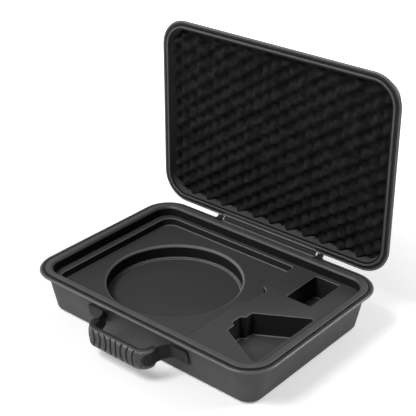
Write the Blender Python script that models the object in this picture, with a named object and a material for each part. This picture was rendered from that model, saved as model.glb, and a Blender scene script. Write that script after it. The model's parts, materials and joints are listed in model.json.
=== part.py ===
"""Zip carrying case for a launch monitor, standing open.

A moulded base shell holds a fitted tray with a round recess and two pockets.
A padded lid shell stands upright on a flexible hinge strip at the back, a zip
runs round both rims, and a carry handle is fixed to the front wall.

Frame: metres, +Z up, origin at the middle of the base's underside, +X along
the hinge, -Y towards the handle.
"""

import math

import bmesh
import bpy

MM = 0.001

# Overall sizes
RIM_W = 430 * MM  # outside width of both rims, along the hinge
RIM_D = 307 * MM  # outside depth of both rims
RIM_R = 46 * MM  # outside corner radius of the rims
BASE_H = 68 * MM  # ground to the face of the base's zip tape
LID_H = 34 * MM  # face of the lid's zip tape to the lid's outside

# Moulded shells
FIT = 0.3 * MM  # gap between pieces that touch
OVERHANG = 11 * MM  # flange beyond the wall below it
DRAFT = math.radians(11.2)
BASE_EDGE_R = 7 * MM  # outside radius between wall and sole
LID_EDGE_R = 14 * MM
SHELL_T = 4 * MM
LID_T = 3.5 * MM
FLANGE_T = 2.6 * MM
EDGE_ROUND = 0.8 * MM  # on the flange's free edge

# Zip, on both rims
TAPE_T = 1.0 * MM
TAPE_IN = 0.5 * MM  # tape's outer edge, in from the rim's edge
TAPE_W = 5.1 * MM
TEETH_GAP = 0.3 * MM
TEETH_W = 1.8 * MM
TEETH_RISE = 1.2 * MM  # teeth above the tape's face
STOP_L = 1.5 * MM
ZIP_END = 2.0 * MM  # from the hinge strip's end to the zip's end

# Raised inner lips
LIP_GAP = 0.3 * MM
LIP_RISE = 1.2 * MM
LIP_CHAMFER = 0.8 * MM
BASE_LIP_W = 12 * MM
BASE_LIP_SLOPE = 5.5 * MM  # width of its sloping inner shoulder
BASE_LIP_DROP = 2.8 * MM
LID_LIP_W = 3.6 * MM
LID_SILL_W = 2.6 * MM  # low sill between the lid's lip and its wall
LID_SILL_H = 0.7 * MM

# Hinge
HINGE_L = 180 * MM
LEAF_T = 1.2 * MM
LEAF_LAP = 9 * MM  # how far each leaf laps over its shell's rim
OPEN_RISE = 6.4 * MM  # open lid's lower edge above the base's zip tape
OPEN_SET = -0.9 * MM  # open lid's rim plane behind the base rim's back edge
CLOSED_GAP = 2.8 * MM  # between the two zip tapes when closed

# Tray insert
DECK_DROP = 15 * MM  # tray's deck below the zip tape's face
LAND = 7.5 * MM  # deck left in front of and behind the big recess
LAND_SIDE = 11 * MM  # deck left beside it
RECESS_DEPTH = 13 * MM
RECESS_R = 20 * MM  # its two outer corners
STEP_R = 5 * MM  # its two corners at the side bay
BAY_W = 125 * MM  # side bay, from the recess to the lip
NOTCH_L = 52 * MM
NOTCH_D = 11.5 * MM
NOTCH_Y = 25.5 * MM
NOTCH_R = 11 * MM
ROUND_R = 102.5 * MM  # round recess, at its ledge
ROUND_EDGE_R = 5 * MM
ROUND_LAND = 18 * MM  # from the big recess's side to the round one's edge
LEDGE_W = 2.5 * MM
LEDGE_H = 2.0 * MM
POCKET_FLOOR = 16 * MM  # above the ground
BOX_X = 41.5 * MM  # rectangular pocket, from the recess's step
BOX_W = 42.5 * MM
BOX_L = 73.5 * MM
BOX_R = 2.5 * MM
SLOPE_X = 31 * MM  # sloping pocket, from the recess's step
SLOPE_W = 77 * MM
SLOPE_LEFT = 55 * MM  # length of its short side
SLOPE_RIGHT = 139 * MM  # length of its long side
SLOPE_CUT = 39 * MM  # short side's front corner behind the long side's
SLOPE_Y = 18 * MM  # long side's front corner, from the recess's front
SLOPE_R = 4 * MM
SCOOP_W = 26 * MM  # finger scoop in its short side
SCOOP_D = 7 * MM
SCOOP_UP = 14.5 * MM  # scoop's near end, from the short side's front corner

# Lid foam
FOAM_DROP = 3 * MM  # foam's face behind the lid's rim plane

# Handle
HANDLE_X = -4 * MM
HANDLE_Z = 37 * MM
STRAP_H = 24 * MM
STRAP_T = 2.5 * MM
PAD_IN = 60.5 * MM  # pad's near end, from the handle's middle
PAD_L = 34 * MM
GRIP_REACH = 33.5 * MM  # grip's outer face beyond the rim's edge
GRIP_HALF = 54 * MM  # handle's middle to the middle of the grip's end
GRIP_H = 31 * MM
GRIP_T = 8 * MM
GRIP_BEND = 13 * MM
GRIP_RETURN = 5 * MM
GRIP_CHAMFER = 2.4 * MM

# Zip sliders and pulls
SLIDER_L = 9 * MM
SLIDER_T = 2.2 * MM
SLIDER_DOWN = 3.0 * MM
SLIDER_UP = 5.0 * MM
WING_T = 2.0 * MM
EAR_T = 1.1 * MM
EAR_GAP = 4.8 * MM
BAR_R = 0.8 * MM
BAR_OUT = 2.4 * MM  # bar's centre beyond the slider's face
BAR_UP = 1.0 * MM
BAR_CLEAR = 0.35 * MM
PULL_W = 7 * MM
PULL_NECK_W = 4.0 * MM
PULL_L = 24 * MM
PULL_T = 1.4 * MM
KNUCKLE_T = 0.8 * MM

CORNER_STEPS = 8
ARC_STEPS = 5
ROUND_STEPS = 72

# Derived places
TAPE_BACK = TAPE_T + FIT  # flange's face below the tape's face
FLANGE_BACK = TAPE_BACK + FLANGE_T
TEETH_IN = TAPE_IN + TAPE_W + TEETH_GAP
LIP_IN = TEETH_IN + TEETH_W + LIP_GAP
DECK_Z = BASE_H - DECK_DROP
LID_Y = RIM_D / 2 + OPEN_SET
LID_Z = BASE_H + OPEN_RISE
HINGE_Y = RIM_D / 2 + (OPEN_RISE - CLOSED_GAP + OPEN_SET) / 2
HINGE_Z = BASE_H + (OPEN_RISE + CLOSED_GAP - OPEN_SET) / 2


def clear_scene():
    for obj in list(bpy.data.objects):
        bpy.data.objects.remove(obj, do_unlink=True)


def material(name, colour, roughness, metallic=0.0):
    mat = bpy.data.materials.new(name)
    mat.use_nodes = True
    shader = mat.node_tree.nodes["Principled BSDF"]
    shader.inputs["Base Color"].default_value = (*colour, 1.0)
    shader.inputs["Roughness"].default_value = roughness
    shader.inputs["Metallic"].default_value = metallic
    return mat


def joint_empty(name, place):
    empty = bpy.data.objects.new(name, None)
    empty.location = place
    bpy.context.scene.collection.objects.link(empty)
    return empty


def add(name, bm, mat, parent=None, smooth=False):
    """The mesh, in world coordinates, as an object whose origin is at its parent empty or at the scene's."""
    bmesh.ops.recalc_face_normals(bm, faces=bm.faces)
    if parent:
        bmesh.ops.translate(bm, verts=bm.verts, vec=-parent.location)
    mesh = bpy.data.meshes.new(name)
    bm.to_mesh(mesh)
    bm.free()
    mesh.materials.append(mat)
    obj = bpy.data.objects.new(name, mesh)
    bpy.context.scene.collection.objects.link(obj)
    if parent:
        obj.parent = parent
    if smooth:
        mesh.shade_smooth()
        mesh.set_sharp_from_angle(angle=math.radians(35))
    return obj


def cut(obj, cutter):
    cutter.hide_render = True
    cutter.display_type = "WIRE"
    boolean = obj.modifiers.new("cut_" + cutter.name, "BOOLEAN")
    boolean.operation = "DIFFERENCE"
    boolean.solver = "EXACT"
    boolean.object = cutter


# Outlines ------------------------------------------------------------------


def rim_ring(inset):
    """The rims' rounded rectangle, moved in by inset, as (x, y) points."""
    half_x, half_y = RIM_W / 2 - inset, RIM_D / 2 - inset
    radius = max(RIM_R - inset, 1 * MM)
    points = []
    for corner, (sx, sy) in enumerate(((1, 1), (-1, 1), (-1, -1), (1, -1))):
        for step in range(CORNER_STEPS + 1):
            turn = math.radians(90) * (corner + step / CORNER_STEPS)
            points.append(
                (
                    sx * (half_x - radius) + radius * math.cos(turn),
                    sy * (half_y - radius) + radius * math.sin(turn),
                )
            )
    return points


def rounded_outline(corners, steps=6):
    """Corners are (x, y, radius), in order; each is replaced by its fillet."""
    points = []
    count = len(corners)
    for i, (x, y, radius) in enumerate(corners):
        ax, ay = corners[i - 1][0] - x, corners[i - 1][1] - y
        bx, by = corners[(i + 1) % count][0] - x, corners[(i + 1) % count][1] - y
        la, lb = math.hypot(ax, ay), math.hypot(bx, by)
        ax, ay, bx, by = ax / la, ay / la, bx / lb, by / lb
        inside = math.acos(max(-1, min(1, ax * bx + ay * by)))
        reach = radius / math.tan(inside / 2)
        mx, my = ax + bx, ay + by
        ml = math.hypot(mx, my)
        centre = (
            x + mx / ml * radius / math.sin(inside / 2),
            y + my / ml * radius / math.sin(inside / 2),
        )
        start = math.atan2(y + ay * reach - centre[1], x + ax * reach - centre[0])
        end = math.atan2(y + by * reach - centre[1], x + bx * reach - centre[0])
        sweep = (end - start + math.pi) % (2 * math.pi) - math.pi
        for step in range(steps + 1):
            turn = start + sweep * step / steps
            points.append(
                (
                    centre[0] + radius * math.cos(turn),
                    centre[1] + radius * math.sin(turn),
                )
            )
    return points


class Shell:
    """A moulded half: heights run from its sole to its rim, insets from the rim's edge inwards."""

    def __init__(self, height, thickness, edge_r):
        self.height = height
        self.thickness = thickness
        self.edge_r = edge_r
        self.under = height - FLANGE_BACK
        self.centre_z = edge_r
        self.centre_in = self.wall(edge_r) + edge_r / math.cos(DRAFT)

    def wall(self, z, offset=0.0):
        return OVERHANG + (self.under - z) * math.tan(DRAFT) + offset / math.cos(DRAFT)

    def side(self, offset, top):
        """(inset, height) from the sole's flat to the wall at height top, on the surface that lies offset inside the outside."""
        radius = self.edge_r - offset
        points = []
        for step in range(ARC_STEPS + 1):
            turn = math.radians(90) - (math.radians(90) - DRAFT) * step / ARC_STEPS
            points.append(
                (
                    self.centre_in - radius * math.cos(turn),
                    self.centre_z - radius * math.sin(turn),
                )
            )
        points.append((self.wall(top, offset), top))
        return points

    def bowl(self):
        top = self.height - TAPE_BACK
        outside = self.side(0, self.under)
        flange = [
            (EDGE_ROUND, self.under),
            (0, self.under + EDGE_ROUND),
            (0, top - EDGE_ROUND),
            (EDGE_ROUND, top),
        ]
        return outside + flange + self.side(self.thickness, top)[::-1]


BASE = Shell(BASE_H, SHELL_T, BASE_EDGE_R)
LID = Shell(LID_H, LID_T, LID_EDGE_R)


def base_place(x, y, height):
    return (x, y, height)


def lid_place(x, y, height):
    """Height runs from the lid's sole, so its rim plane faces the front when it stands open."""
    return (x, LID_Y + LID_H - height, LID_Z + RIM_D / 2 + y)


# Solids ----------------------------------------------------------------------


def loft(profile, place, closed=False):
    """Rims' outlines at each (inset, height), joined in order, and capped or closed on themselves."""
    bm = bmesh.new()
    rings = [
        [bm.verts.new(place(x, y, height)) for x, y in rim_ring(inset)]
        for inset, height in profile
    ]
    pairs = list(zip(rings, rings[1:]))
    if closed:
        pairs.append((rings[-1], rings[0]))
    else:
        bm.faces.new(rings[0])
        bm.faces.new(rings[-1])
    for low, high in pairs:
        count = len(low)
        for i in range(count):
            j = (i + 1) % count
            bm.faces.new((low[i], low[j], high[j], high[i]))
    return bm


def prism(outline, low, high, place=None):
    """A flat outline of (a, b) points drawn out from low to high along the third axis."""
    place = place or (lambda a, b, c: (a, b, c))
    bm = bmesh.new()
    bottom = [bm.verts.new(place(a, b, low)) for a, b in outline]
    top = [bm.verts.new(place(a, b, high)) for a, b in outline]
    bm.faces.new(bottom)
    bm.faces.new(top)
    count = len(outline)
    for i in range(count):
        j = (i + 1) % count
        bm.faces.new((bottom[i], bottom[j], top[j], top[i]))
    return bm


def along_x(a, b, c):
    """A (y, z) outline drawn out along X."""
    return (c, a, b)


def block(low, high):
    return prism(
        [(low[0], low[1]), (high[0], low[1]), (high[0], high[1]), (low[0], high[1])],
        low[2],
        high[2],
    )


def turned(profile, centre):
    """(radius, height) points turned about a vertical line; the first and last lie on it."""
    bm = bmesh.new()
    rings = []
    for radius, height in profile:
        if radius == 0:
            rings.append([bm.verts.new((centre[0], centre[1], height))])
            continue
        rings.append(
            [
                bm.verts.new(
                    (
                        centre[0] + radius * math.cos(2 * math.pi * i / ROUND_STEPS),
                        centre[1] + radius * math.sin(2 * math.pi * i / ROUND_STEPS),
                        height,
                    )
                )
                for i in range(ROUND_STEPS)
            ]
        )
    for low, high in zip(rings, rings[1:]):
        for i in range(ROUND_STEPS):
            j = (i + 1) % ROUND_STEPS
            if len(low) == 1:
                bm.faces.new((low[0], high[j], high[i]))
            elif len(high) == 1:
                bm.faces.new((low[i], low[j], high[0]))
            else:
                bm.faces.new((low[i], low[j], high[j], high[i]))
    return bm


def ribbon(path, half_t, low, high, chamfer=0.0, lean=None):
    """A bar that follows path in plan, 2 * half_t thick, from low to high, with its long edges cut by chamfer. lean holds one slope per point of path, by which the bar tips outwards there."""
    if chamfer:
        section = [
            (-half_t, low + chamfer),
            (-half_t + chamfer, low),
            (half_t - chamfer, low),
            (half_t, low + chamfer),
            (half_t, high - chamfer),
            (half_t - chamfer, high),
            (-half_t + chamfer, high),
            (-half_t, high - chamfer),
        ]
    else:
        section = [(-half_t, low), (half_t, low), (half_t, high), (-half_t, high)]
    bm = bmesh.new()
    rings = []
    for i, (x, y) in enumerate(path):
        before, after = path[max(i - 1, 0)], path[min(i + 1, len(path) - 1)]
        dx, dy = after[0] - before[0], after[1] - before[1]
        length = math.hypot(dx, dy)
        nx, ny = dy / length, -dx / length
        slope = lean[i] if lean else 0.0
        rings.append(
            [
                bm.verts.new((x + nx * s, y + ny * s - slope * (z - (low + high) / 2), z))
                for s, z in section
            ]
        )
    bm.faces.new(rings[0])
    bm.faces.new(rings[-1])
    for low_ring, high_ring in zip(rings, rings[1:]):
        count = len(section)
        for i in range(count):
            j = (i + 1) % count
            bm.faces.new((low_ring[i], low_ring[j], high_ring[j], high_ring[i]))
    return bm


# Pieces ------------------------------------------------------------------------


def make_rim(side, shell, place, mats, parent):
    """Zip tape, teeth and end stops on one rim. Heights run from the shell's sole."""
    face = shell.height
    tape = loft(
        [
            (TAPE_IN, face - TAPE_T),
            (TAPE_IN, face),
            (TAPE_IN + TAPE_W, face),
            (TAPE_IN + TAPE_W, face - TAPE_T),
        ],
        place,
        closed=True,
    )
    teeth = loft(
        [
            (TEETH_IN, face - TAPE_T),
            (TEETH_IN, face + TEETH_RISE),
            (TEETH_IN + TEETH_W, face + TEETH_RISE),
            (TEETH_IN + TEETH_W, face - TAPE_T),
        ],
        place,
        closed=True,
    )
    pieces = [
        add(side + "_zip_tape", tape, mats["zip_tape"], parent=parent),
        add(side + "_zip_teeth", teeth, mats["zip_teeth"], parent=parent),
    ]
    gap = HINGE_L / 2 + ZIP_END
    # The hinge edge is at +Y on the base and at the bottom of the open lid.
    sign = 1 if side == "base" else -1
    edge = sign * RIM_D / 2
    for index, piece in enumerate(pieces):
        outline = [
            (-gap, edge - sign * 16 * MM),
            (gap, edge - sign * 16 * MM),
            (gap, edge + sign * 5 * MM),
            (-gap, edge + sign * 5 * MM),
        ]
        gate = prism(outline, face - 8 * MM, face + 8 * MM, place)
        cut(piece, add(f"{side}_zip_gate_{index}", gate, mats["zip_tape"]))
    for word, sx in (("left", -1), ("right", 1)):
        near, far = gap - FIT - STOP_L, gap - FIT
        outline = [
            (sx * near, edge - sign * (TEETH_IN + TEETH_W)),
            (sx * far, edge - sign * (TEETH_IN + TEETH_W)),
            (sx * far, edge - sign * (TEETH_IN - 1 * MM)),
            (sx * near, edge - sign * (TEETH_IN - 1 * MM)),
        ]
        stop = prism(outline, face - TAPE_T, face + TEETH_RISE, place)
        add(f"{side}_zip_stop_{word}", stop, mats["zip_metal"], parent=parent)


def make_base(mats):
    add("base_shell", loft(BASE.bowl(), base_place), mats["shell"], smooth=True)
    face = BASE_H
    lip_end = LIP_IN + BASE_LIP_W
    low = DECK_Z + FIT
    lip = [
        (LIP_IN, face - TAPE_T),
        (LIP_IN, face + LIP_RISE - LIP_CHAMFER),
        (LIP_IN + LIP_CHAMFER, face + LIP_RISE),
        (lip_end - BASE_LIP_SLOPE, face + LIP_RISE),
        (lip_end - BASE_LIP_SLOPE / 3, face + LIP_RISE - BASE_LIP_DROP / 3),
        (lip_end, face + LIP_RISE - BASE_LIP_DROP),
        (lip_end, low),
        (BASE.wall(low, SHELL_T + FIT), low),
        (BASE.wall(face - TAPE_T, SHELL_T + FIT), face - TAPE_T),
    ]
    add("base_lip", loft(lip, base_place, closed=True), mats["lip"], smooth=True)
    make_rim("base", BASE, base_place, mats, None)


def recess_edges():
    """The big recess's left, right, front and back edges, and the side bay's far edge."""
    lip_end = LIP_IN + BASE_LIP_W
    back = RIM_D / 2 - lip_end - LAND
    left = -RIM_W / 2 + lip_end + LAND_SIDE
    step = RIM_W / 2 - lip_end - BAY_W
    return left, step, -back, back


def tray_layer(name, low, high, mats):
    """A slab of the tray between two heights, as wide as the shell's inside."""
    offset = SHELL_T + FIT
    profile = [(BASE.wall(low, offset), low), (BASE.wall(high, offset), high)]
    return add(name, loft(profile, base_place), mats["tray"])


def make_tray(mats):
    """A floor pad under two layers: the lower one is cut through, and the upper one holds the big recess."""
    recess_z = DECK_Z - RECESS_DEPTH
    pad = loft(BASE.side(SHELL_T + FIT, POCKET_FLOOR), base_place)
    add("tray_floor_pad", pad, mats["tray"])
    lower = tray_layer("tray_lower_layer", POCKET_FLOOR + FIT, recess_z, mats)
    upper = tray_layer("tray_upper_layer", recess_z + FIT, DECK_Z, mats)
    left, step, front, back = recess_edges()
    above, below = DECK_Z + 20 * MM, POCKET_FLOOR - 2 * MM
    half = NOTCH_L / 2
    recess = rounded_outline(
        [
            (left, front, RECESS_R),
            (step, front, STEP_R),
            (step, NOTCH_Y - half, STEP_R),
            (step + NOTCH_D, NOTCH_Y - half + NOTCH_D / 2, NOTCH_R),
            (step + NOTCH_D, NOTCH_Y + half - NOTCH_D / 2, NOTCH_R),
            (step, NOTCH_Y + half, STEP_R / 2),
            (step, back, STEP_R),
            (left, back, RECESS_R),
        ]
    )
    recess_cut = prism(recess, recess_z - 2 * MM, above)
    cut(upper, add("tray_recess_cut", recess_cut, mats["tray"]))

    edge_r = ROUND_R + ROUND_EDGE_R
    centre = (left + ROUND_LAND + edge_r, 0.0)
    profile = [
        (0, below),
        (ROUND_R - LEDGE_W, below),
        (ROUND_R - LEDGE_W, POCKET_FLOOR + LEDGE_H),
        (ROUND_R, POCKET_FLOOR + LEDGE_H),
    ]
    for step_i in range(5):
        turn = math.radians(22.5) * step_i
        profile.append(
            (
                edge_r - ROUND_EDGE_R * math.cos(turn),
                recess_z - ROUND_EDGE_R + ROUND_EDGE_R * math.sin(turn),
            )
        )
    profile += [(edge_r, above), (0, above)]
    cut(lower, add("tray_round_cut", turned(profile, centre), mats["tray"]))

    x0 = step + BOX_X
    box = rounded_outline(
        [
            (x0, back - BOX_L, BOX_R),
            (x0 + BOX_W, back - BOX_L, BOX_R),
            (x0 + BOX_W, back, BOX_R),
            (x0, back, BOX_R),
        ],
        steps=3,
    )
    box_cut = add("tray_box_cut", prism(box, below, above), mats["tray"])

    x0, x1 = step + SLOPE_X, step + SLOPE_X + SLOPE_W
    y0 = front + SLOPE_Y
    near = y0 + SLOPE_CUT
    slope = rounded_outline(
        [
            (x1, y0, SLOPE_R * 1.5),
            (x1, y0 + SLOPE_RIGHT, SLOPE_R),
            (x0, near + SLOPE_LEFT, SLOPE_R),
            (x0, near + SCOOP_UP + SCOOP_W, 1.5 * MM),
            (x0 - SCOOP_D, near + SCOOP_UP + SCOOP_W - 4 * MM, 3 * MM),
            (x0 - SCOOP_D, near + SCOOP_UP + 4 * MM, 3 * MM),
            (x0, near + SCOOP_UP, 1.5 * MM),
            (x0, near, SLOPE_R),
        ],
        steps=3,
    )
    slope_cut = add("tray_slope_cut", prism(slope, below, above), mats["tray"])
    for layer in (lower, upper):
        cut(layer, box_cut)
        cut(layer, slope_cut)


def make_handle(mats):
    low, high = HANDLE_Z - STRAP_H / 2, HANDLE_Z + STRAP_H / 2

    def wall_y(z):
        return -(RIM_D / 2 - BASE.wall(z))

    # Pads stand on the drafted wall.
    section = [
        (wall_y(low) - FIT, low),
        (wall_y(high) - FIT, high),
        (wall_y(high) - FIT - STRAP_T, high),
        (wall_y(low) - FIT - STRAP_T, low),
    ]
    root_y = wall_y(HANDLE_Z) - FIT - STRAP_T / 2
    axis = joint_empty("handle_axis", (HANDLE_X, root_y, HANDLE_Z))
    outer = -(RIM_D / 2 + GRIP_REACH)
    middle = outer + GRIP_T / 2
    end_y = middle + GRIP_BEND + GRIP_RETURN

    for word, sx in (("left", -1), ("right", 1)):
        pad = prism(
            section, HANDLE_X + sx * PAD_IN, HANDLE_X + sx * (PAD_IN + PAD_L), along_x
        )
        add("handle_pad_" + word, pad, mats["strap"])
        reach = root_y - end_y
        path, lean = [], []
        bend = PAD_IN - FIT - GRIP_HALF
        for i in range(11):
            t = i / 10
            # Runs off the wall and swings round to face straight out.
            swing = math.sin(min(t / 0.55, 1) * math.pi / 2)
            out = (reach - FIT) * t**1.6
            path.append(
                (HANDLE_X + sx * (PAD_IN - FIT - bend * swing), root_y - out)
            )
            lean.append(math.tan(DRAFT) * (1 - t) ** 0.7)
        path[1] = (path[1][0], root_y)
        path[-1] = (HANDLE_X + sx * GRIP_HALF, end_y + FIT)
        path[-2] = (HANDLE_X + sx * GRIP_HALF, path[-2][1])
        strap = ribbon(path, STRAP_T / 2, low, high, lean=lean)
        add("handle_strap_" + word, strap, mats["strap"], parent=axis)

    path = [(HANDLE_X + GRIP_HALF, end_y)]
    for i in range(7):
        turn = math.radians(15) * i
        path.append(
            (
                HANDLE_X + GRIP_HALF - GRIP_BEND + GRIP_BEND * math.cos(turn),
                middle + GRIP_BEND - GRIP_BEND * math.sin(turn),
            )
        )
    path += [(2 * HANDLE_X - x, y) for x, y in path[::-1]]
    grip = ribbon(
        path,
        GRIP_T / 2,
        HANDLE_Z - GRIP_H / 2,
        HANDLE_Z + GRIP_H / 2,
        GRIP_CHAMFER,
    )
    add("handle_grip", grip, mats["grip"], parent=axis, smooth=True)


def make_hinge(mats, lid_axis):
    """Two leaves of the web: the base's one folds out under the lid's one, and they meet at the hinge axis."""
    base_back = RIM_D / 2 + FIT
    lid_back = LID_Y + FLANGE_BACK + FIT
    fold = HINGE_Z - FIT / 2
    outline = [
        (base_back, BASE_H - LEAF_LAP),
        (base_back + LEAF_T, BASE_H - LEAF_LAP),
        (base_back + LEAF_T, fold - LEAF_T),
        (lid_back + LEAF_T, fold - LEAF_T),
        (lid_back + LEAF_T, fold),
        (base_back, fold),
    ]
    add(
        "base_hinge_leaf",
        prism(outline, -HINGE_L / 2, HINGE_L / 2, along_x),
        mats["hinge"],
    )
    add(
        "lid_hinge_leaf",
        block(
            (-HINGE_L / 2, lid_back, fold + FIT),
            (HINGE_L / 2, lid_back + LEAF_T, LID_Z + LEAF_LAP),
        ),
        mats["hinge"],
        parent=lid_axis,
    )


def make_lid(mats, lid_axis):
    add(
        "lid_shell", loft(LID.bowl(), lid_place), mats["shell"], parent=lid_axis,
        smooth=True,
    )
    face = LID_H
    end = LIP_IN + LID_LIP_W
    lip = [
        (LIP_IN, face - TAPE_T),
        (LIP_IN, face + LIP_RISE - LIP_CHAMFER),
        (LIP_IN + LIP_CHAMFER, face + LIP_RISE),
        (end - LIP_CHAMFER, face + LIP_RISE),
        (end, face + LIP_RISE - LIP_CHAMFER),
        (end, face - TAPE_T + LID_SILL_H),
        (end + LID_SILL_W, face - TAPE_T + LID_SILL_H),
        (end + LID_SILL_W, face - TAPE_T),
    ]
    add(
        "lid_lip", loft(lip, lid_place, closed=True), mats["lip"], parent=lid_axis,
        smooth=True,
    )
    make_rim("lid", LID, lid_place, mats, lid_axis)
    foam = LID.side(LID_T + FIT, LID_H - FOAM_DROP)
    add("lid_foam", loft(foam, lid_place), mats["foam"], parent=lid_axis)


def make_slider(word, sx, mats):
    x0 = HINGE_L / 2 + ZIP_END + 1 * MM
    x1 = x0 + SLIDER_L
    mid = sx * (x0 + x1) / 2
    edge = RIM_D / 2
    face = edge + FIT + SLIDER_T
    wing_low = BASE_H + FIT
    back = edge - (TAPE_IN + TAPE_W) + FIT
    # Seen from the end: a wing between the rims and a plate outside them.
    outline = [
        (back, wing_low),
        (edge + FIT, wing_low),
        (edge + FIT, BASE_H - SLIDER_DOWN),
        (face - 0.6 * MM, BASE_H - SLIDER_DOWN),
        (face, BASE_H - SLIDER_DOWN + 0.6 * MM),
        (face, BASE_H + SLIDER_UP - 0.6 * MM),
        (face - 0.6 * MM, BASE_H + SLIDER_UP),
        (edge + FIT, BASE_H + SLIDER_UP),
        (edge + FIT, wing_low + WING_T),
        (back, wing_low + WING_T),
    ]
    slider = add(
        "zip_slider_" + word,
        prism(outline, mid - SLIDER_L / 2, mid + SLIDER_L / 2, along_x),
        mats["zip_metal"],
    )
    bar_y, bar_z = face + BAR_OUT, BASE_H + BAR_UP
    tip = bar_y + BAR_R + 0.7 * MM
    for n, s in enumerate((-1, 1)):
        a = mid + s * EAR_GAP / 2
        b = a + s * EAR_T
        ear = add(
            f"slider_{word}_ear_{n}",
            block(
                (min(a, b), face - 0.8 * MM, bar_z - 1.6 * MM),
                (max(a, b), tip, bar_z + 1.6 * MM),
            ),
            mats["zip_metal"],
        )
        ear.hide_render = True
        ear.display_type = "WIRE"
        join = slider.modifiers.new(f"ear_{n}", "BOOLEAN")
        join.operation, join.solver, join.object = "UNION", "EXACT", ear
    round_bar = [
        (
            bar_y + BAR_R * math.cos(math.radians(30 * i)),
            bar_z + BAR_R * math.sin(math.radians(30 * i)),
        )
        for i in range(12)
    ]
    reach = EAR_GAP / 2 + EAR_T / 2
    bar = add(
        f"slider_{word}_bar",
        prism(round_bar, mid - reach, mid + reach, along_x),
        mats["zip_metal"],
    )
    bar.hide_render = True
    bar.display_type = "WIRE"
    join = slider.modifiers.new("bar", "BOOLEAN")
    join.operation, join.solver, join.object = "UNION", "EXACT", bar

    axis = joint_empty(f"pull_{word}_axis", (mid, bar_y, bar_z))
    hole_r = BAR_R + BAR_CLEAR
    ring_r = hole_r + KNUCKLE_T
    half = PULL_T / 2
    start = math.asin(half / ring_r)
    knuckle = []
    for i in range(13):
        turn = -math.pi / 2 + start + (2 * math.pi - 2 * start) * i / 12
        knuckle.append((bar_y + ring_r * math.cos(turn), bar_z + ring_r * math.sin(turn)))
    knuckle += [(bar_y - half, bar_z - 5 * MM), (bar_y + half, bar_z - 5 * MM)]
    pull = add(
        "zip_pull_" + word,
        prism(knuckle, mid - PULL_NECK_W / 2, mid + PULL_NECK_W / 2, along_x),
        mats["pull"],
        parent=axis,
    )
    hole = [
        (
            bar_y + hole_r * math.cos(math.radians(30 * i)),
            bar_z + hole_r * math.sin(math.radians(30 * i)),
        )
        for i in range(12)
    ]
    cut(
        pull,
        add(
            f"pull_{word}_hole",
            prism(hole, mid - PULL_NECK_W, mid + PULL_NECK_W, along_x),
            mats["pull"],
        ),
    )
    tab = rounded_outline(
        [
            (mid - PULL_W / 2, bar_z - PULL_L, 2.4 * MM),
            (mid + PULL_W / 2, bar_z - PULL_L, 2.4 * MM),
            (mid + PULL_W / 2, bar_z - 4.2 * MM, 1.2 * MM),
            (mid - PULL_W / 2, bar_z - 4.2 * MM, 1.2 * MM),
        ],
        steps=3,
    )
    plate = add(
        f"pull_{word}_tab",
        prism(tab, bar_y - half, bar_y + half, lambda a, b, c: (a, c, b)),
        mats["pull"],
    )
    plate.hide_render = True
    plate.display_type = "WIRE"
    join = pull.modifiers.new("tab", "BOOLEAN")
    join.operation, join.solver, join.object = "UNION", "EXACT", plate


def main():
    clear_scene()
    mats = {
        "shell": material("shell", (0.06, 0.06, 0.06), 0.55),
        "lip": material("lip", (0.085, 0.085, 0.085), 0.6),
        "tray": material("tray", (0.024, 0.024, 0.024), 0.85),
        "foam": material("foam", (0.01, 0.01, 0.01), 0.95),
        "zip_tape": material("zip_tape", (0.04, 0.04, 0.04), 0.8),
        "zip_teeth": material("zip_teeth", (0.006, 0.006, 0.006), 0.45),
        "zip_metal": material("zip_metal", (0.05, 0.05, 0.05), 0.35, 0.9),
        "pull": material("pull", (0.022, 0.022, 0.022), 0.5),
        "hinge": material("hinge", (0.075, 0.075, 0.075), 0.7),
        "strap": material("strap", (0.04, 0.04, 0.04), 0.7),
        "grip": material("grip", (0.034, 0.034, 0.034), 0.6),
    }
    lid_axis = joint_empty("lid_axis", (0, HINGE_Y, HINGE_Z))
    make_base(mats)
    make_tray(mats)
    make_handle(mats)
    make_hinge(mats, lid_axis)
    make_lid(mats, lid_axis)
    make_slider("left", -1, mats)
    make_slider("right", 1, mats)


main()
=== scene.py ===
"""Looks of a zip carrying case that stands open.

It has moulded shells with piped edges, a coil zip, a fitted tray, egg-crate foam and a webbing handle.
"""

import json
import math

import bmesh
import bpy
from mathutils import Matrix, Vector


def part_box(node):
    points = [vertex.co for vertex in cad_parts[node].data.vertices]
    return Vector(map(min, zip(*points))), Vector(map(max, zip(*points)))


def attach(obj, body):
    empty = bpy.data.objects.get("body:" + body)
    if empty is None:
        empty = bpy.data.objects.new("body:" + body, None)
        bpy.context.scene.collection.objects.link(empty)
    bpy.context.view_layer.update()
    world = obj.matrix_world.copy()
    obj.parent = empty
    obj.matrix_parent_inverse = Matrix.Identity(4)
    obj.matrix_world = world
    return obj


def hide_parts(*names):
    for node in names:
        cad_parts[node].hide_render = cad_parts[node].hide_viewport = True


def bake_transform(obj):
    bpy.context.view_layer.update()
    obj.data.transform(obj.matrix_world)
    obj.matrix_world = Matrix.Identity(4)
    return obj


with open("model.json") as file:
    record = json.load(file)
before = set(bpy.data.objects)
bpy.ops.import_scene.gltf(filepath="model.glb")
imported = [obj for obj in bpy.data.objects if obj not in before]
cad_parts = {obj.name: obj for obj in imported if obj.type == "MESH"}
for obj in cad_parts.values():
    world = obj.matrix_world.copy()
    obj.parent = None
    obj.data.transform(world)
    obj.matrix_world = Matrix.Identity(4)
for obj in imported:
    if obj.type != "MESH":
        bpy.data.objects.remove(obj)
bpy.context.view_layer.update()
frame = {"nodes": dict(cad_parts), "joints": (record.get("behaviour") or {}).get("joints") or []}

MM = 0.001


def joint_place(name):
    return next(j for j in frame["joints"] if j["name"] == name)["pos_m"]


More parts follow.
